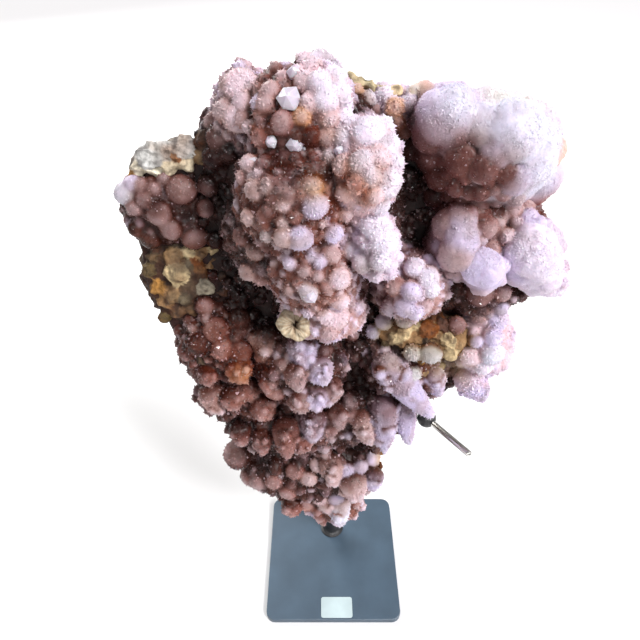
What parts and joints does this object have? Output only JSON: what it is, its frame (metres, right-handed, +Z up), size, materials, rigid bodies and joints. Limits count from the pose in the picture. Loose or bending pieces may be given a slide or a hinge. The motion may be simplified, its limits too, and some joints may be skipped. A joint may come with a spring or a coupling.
{
  "type": "botryoidal quartz specimen on a display stand",
  "caption": "Lilac druzy quartz cluster of grape-like lumps and short pointed fingers on a leaning shield of matrix, held on a dark metal display stand.",
  "frame": {"origin": "middle of the base plate's underside", "axes": "+Z up, -Y towards the front, where the quartz shows its crystals and the label lies, +X to the right as seen from the front"},
  "size_m": [0.2754, 0.1443, 0.4555],
  "materials": {
    "lilac_quartz": "sparkling druzy crystals, lilac to pink, with rust and cream matrix",
    "slate_coated_steel": "satin slate grey coat",
    "black_coated_steel": "satin black coat",
    "bright_steel": "bright, lightly worn",
    "white_paper": "matt, blank"
  },
  "bodies": {
    "root": {"quartz_specimen": "lilac_quartz", "base_plate": "slate_coated_steel", "post": "black_coated_steel", "support_arm": "black_coated_steel", "arm_clamp": "black_coated_steel", "prong": "bright_steel", "price_label": "white_paper"}
  },
  "joints": []
}
